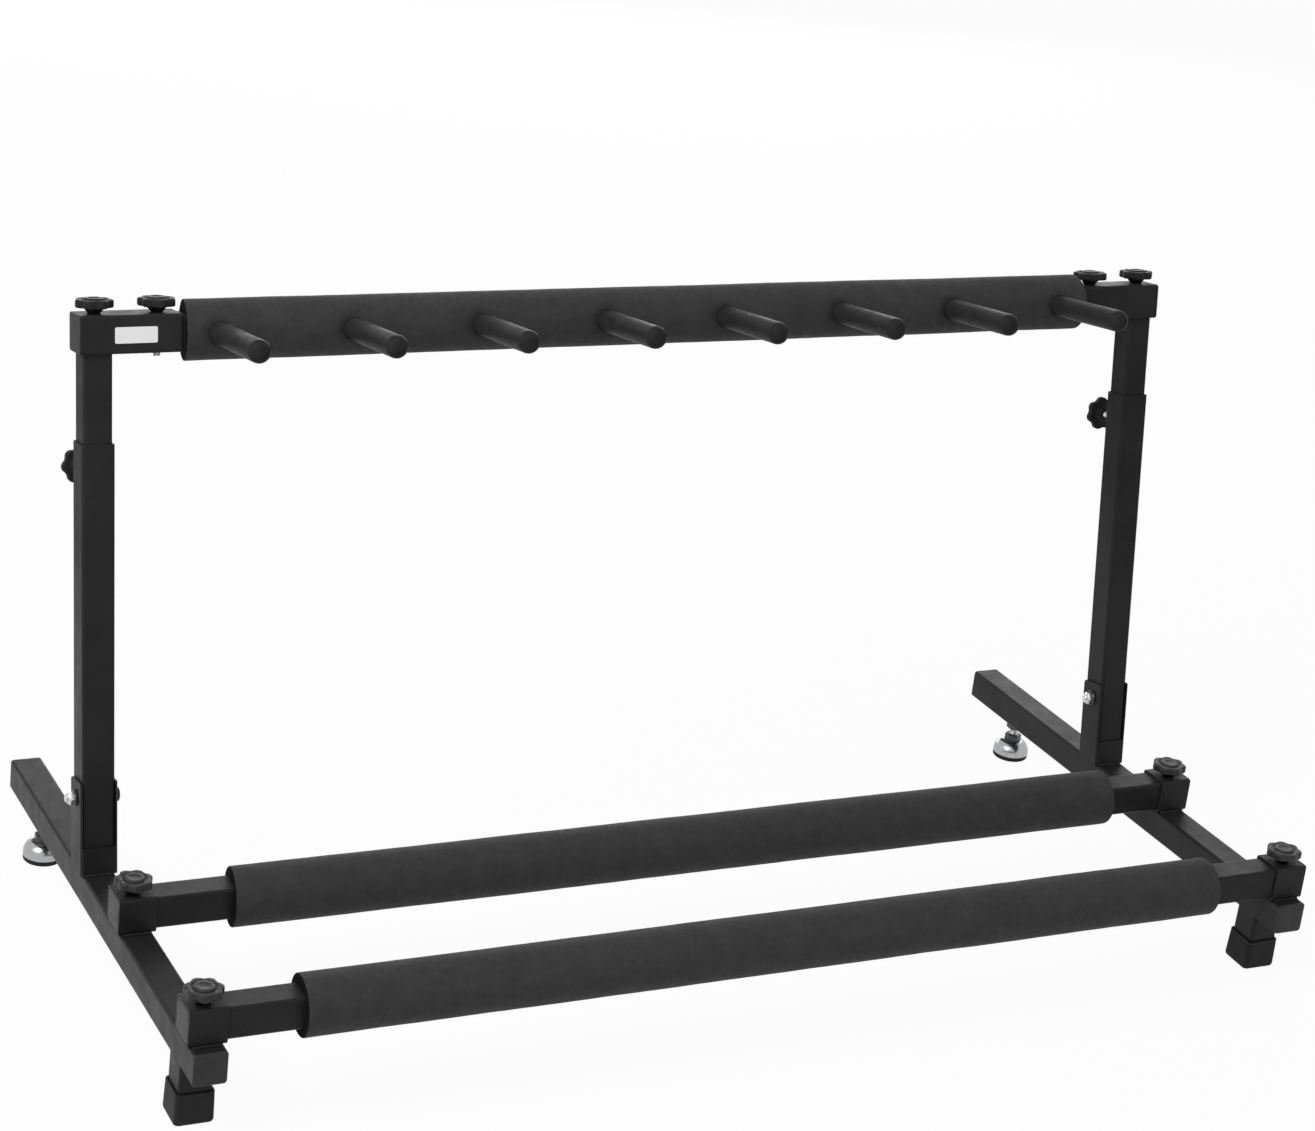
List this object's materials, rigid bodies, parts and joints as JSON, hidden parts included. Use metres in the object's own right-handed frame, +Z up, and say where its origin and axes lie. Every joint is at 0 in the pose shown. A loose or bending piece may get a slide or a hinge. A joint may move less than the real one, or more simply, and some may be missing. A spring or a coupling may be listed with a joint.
{
  "type": "racket display stand",
  "caption": "Folding floor stand: two side frames joined by padded crossbars, and a padded top bar with pegs on telescoping, forward-folding uprights.",
  "frame": {"origin": "on the floor under the middle of the base, where the four feet stand", "axes": "+X to the right along the bars, +Y to the rear, +Z up"},
  "size_m": [0.9509, 0.4804, 0.493],
  "materials": {
    "black_steel": "matte black powder coat",
    "foam": "matte closed-cell foam rubber",
    "black_rubber": "satin rubber",
    "black_plastic": "lightly grained moulding",
    "bright_zinc": "bright zinc plating"
  },
  "bodies": {
    "base": {"base_rail_left": "black_steel", "front_leg_left": "black_steel", "front_bracket_left": "black_steel", "rear_bracket_left": "black_steel", "hinge_channel_left": "black_steel", "rail_front_plug_left": "black_plastic", "rail_rear_plug_left": "black_plastic", "front_bar_plug_left": "black_plastic", "rear_bar_plug_left": "black_plastic", "foot_cap_left": "black_rubber", "hinge_bolt_left": "bright_zinc", "hinge_nut_left": "bright_zinc", "base_rail_right": "black_steel", "front_leg_right": "black_steel", "front_bracket_right": "black_steel", "rear_bracket_right": "black_steel", "hinge_channel_right": "black_steel", "rail_front_plug_right": "black_plastic", "rail_rear_plug_right": "black_plastic", "front_bar_plug_right": "black_plastic", "rear_bar_plug_right": "black_plastic", "foot_cap_right": "black_rubber", "hinge_bolt_right": "bright_zinc", "hinge_nut_right": "bright_zinc", "front_crossbar": "black_steel", "rear_crossbar": "black_steel", "front_foam": "foam", "rear_foam": "foam"},
    "lower_left": {"lower_upright_left": "black_steel"},
    "upper_frame": {"upper_upright_left": "black_steel", "corner_sleeve_left": "black_steel", "corner_plug_left": "black_plastic", "upper_upright_right": "black_steel", "corner_sleeve_right": "black_steel", "corner_plug_right": "black_plastic", "top_bar": "black_steel", "top_foam": "foam", "peg_sleeve_1": "black_rubber", "peg_sleeve_2": "black_rubber", "peg_sleeve_3": "black_rubber", "peg_sleeve_4": "black_rubber", "peg_sleeve_5": "black_rubber", "peg_sleeve_6": "black_rubber", "peg_sleeve_7": "black_rubber", "peg_sleeve_8": "black_rubber"},
    "lower_right": {"lower_upright_right": "black_steel"},
    "front_bar_knob_left": {"front_bar_knob_left": "black_plastic"},
    "rear_bar_knob_left": {"rear_bar_knob_left": "black_plastic"},
    "height_lock_knob_left": {"height_lock_knob_left": "black_plastic"},
    "corner_outer_knob_left": {"corner_outer_knob_left": "black_plastic"},
    "corner_inner_knob_left": {"corner_inner_knob_left": "black_plastic"},
    "front_bar_knob_right": {"front_bar_knob_right": "black_plastic"},
    "rear_bar_knob_right": {"rear_bar_knob_right": "black_plastic"},
    "height_lock_knob_right": {"height_lock_knob_right": "black_plastic"},
    "corner_outer_knob_right": {"corner_outer_knob_right": "black_plastic"},
    "corner_inner_knob_right": {"corner_inner_knob_right": "black_plastic"},
    "rear_glide_left": {"rear_glide_left": "bright_zinc"},
    "rear_glide_right": {"rear_glide_right": "bright_zinc"}
  },
  "joints": [
    {"name": "fold_left", "type": "hinge", "parent": "base", "child": "lower_left", "pos_m": [-0.455, 0.05523, 0.11908], "axis": [1, 0, 0], "range_deg": [0, 99]},
    {"name": "fold_right", "type": "hinge", "parent": "base", "child": "lower_right", "pos_m": [0.455, 0.05523, 0.11908], "axis": [1, 0, 0], "range_deg": [0, 99]},
    {"name": "height", "type": "slide", "parent": "lower_left", "child": "upper_frame", "axis": [0, 0.1857, 0.9826], "range_m": [-0.04, 0.14]},
    {"name": "front_bar_left_turn", "type": "hinge", "parent": "base", "child": "front_bar_knob_left", "pos_m": [-0.455, -0.21525, 0.10053], "axis": [0, 0.0279, 0.9996], "range_deg": [0, 720]},
    {"name": "rear_bar_left_turn", "type": "hinge", "parent": "base", "child": "rear_bar_knob_left", "pos_m": [-0.455, -0.05081, 0.09594], "axis": [0, 0.0279, 0.9996], "range_deg": [0, 720]},
    {"name": "height_lock_left_turn", "type": "hinge", "parent": "lower_left", "child": "height_lock_knob_left", "pos_m": [-0.455, 0.12969, 0.35536], "axis": [0, 0.9826, -0.1857], "range_deg": [0, 720]},
    {"name": "corner_outer_left_turn", "type": "hinge", "parent": "upper_frame", "child": "corner_outer_knob_left", "pos_m": [-0.455, 0.12307, 0.47813], "axis": [0, 0.1857, 0.9826], "range_deg": [0, 720]},
    {"name": "corner_inner_left_turn", "type": "hinge", "parent": "upper_frame", "child": "corner_inner_knob_left", "pos_m": [-0.408, 0.12307, 0.47813], "axis": [0, 0.1857, 0.9826], "range_deg": [0, 720]},
    {"name": "front_bar_right_turn", "type": "hinge", "parent": "base", "child": "front_bar_knob_right", "pos_m": [0.455, -0.21525, 0.10053], "axis": [0, 0.0279, 0.9996], "range_deg": [0, 720]},
    {"name": "rear_bar_right_turn", "type": "hinge", "parent": "base", "child": "rear_bar_knob_right", "pos_m": [0.455, -0.05081, 0.09594], "axis": [0, 0.0279, 0.9996], "range_deg": [0, 720]},
    {"name": "height_lock_right_turn", "type": "hinge", "parent": "lower_right", "child": "height_lock_knob_right", "pos_m": [0.455, 0.12969, 0.35536], "axis": [0, 0.9826, -0.1857], "range_deg": [0, 720]},
    {"name": "corner_outer_right_turn", "type": "hinge", "parent": "upper_frame", "child": "corner_outer_knob_right", "pos_m": [0.455, 0.12307, 0.47813], "axis": [0, 0.1857, 0.9826], "range_deg": [0, 720]},
    {"name": "corner_inner_right_turn", "type": "hinge", "parent": "upper_frame", "child": "corner_inner_knob_right", "pos_m": [0.408, 0.12307, 0.47813], "axis": [0, 0.1857, 0.9826], "range_deg": [0, 720]},
    {"name": "rear_glide_left_turn", "type": "hinge", "parent": "base", "child": "rear_glide_left", "pos_m": [-0.455, 0.17958, 0], "axis": [0, 0, 1], "range_deg": [-1080, 1080]},
    {"name": "rear_glide_right_turn", "type": "hinge", "parent": "base", "child": "rear_glide_right", "pos_m": [0.455, 0.17958, 0], "axis": [0, 0, 1], "range_deg": [-1080, 1080]}
  ],
  "couplings": [
    {"joint": "fold_right", "follows": "fold_left", "ratio": 1}
  ]
}
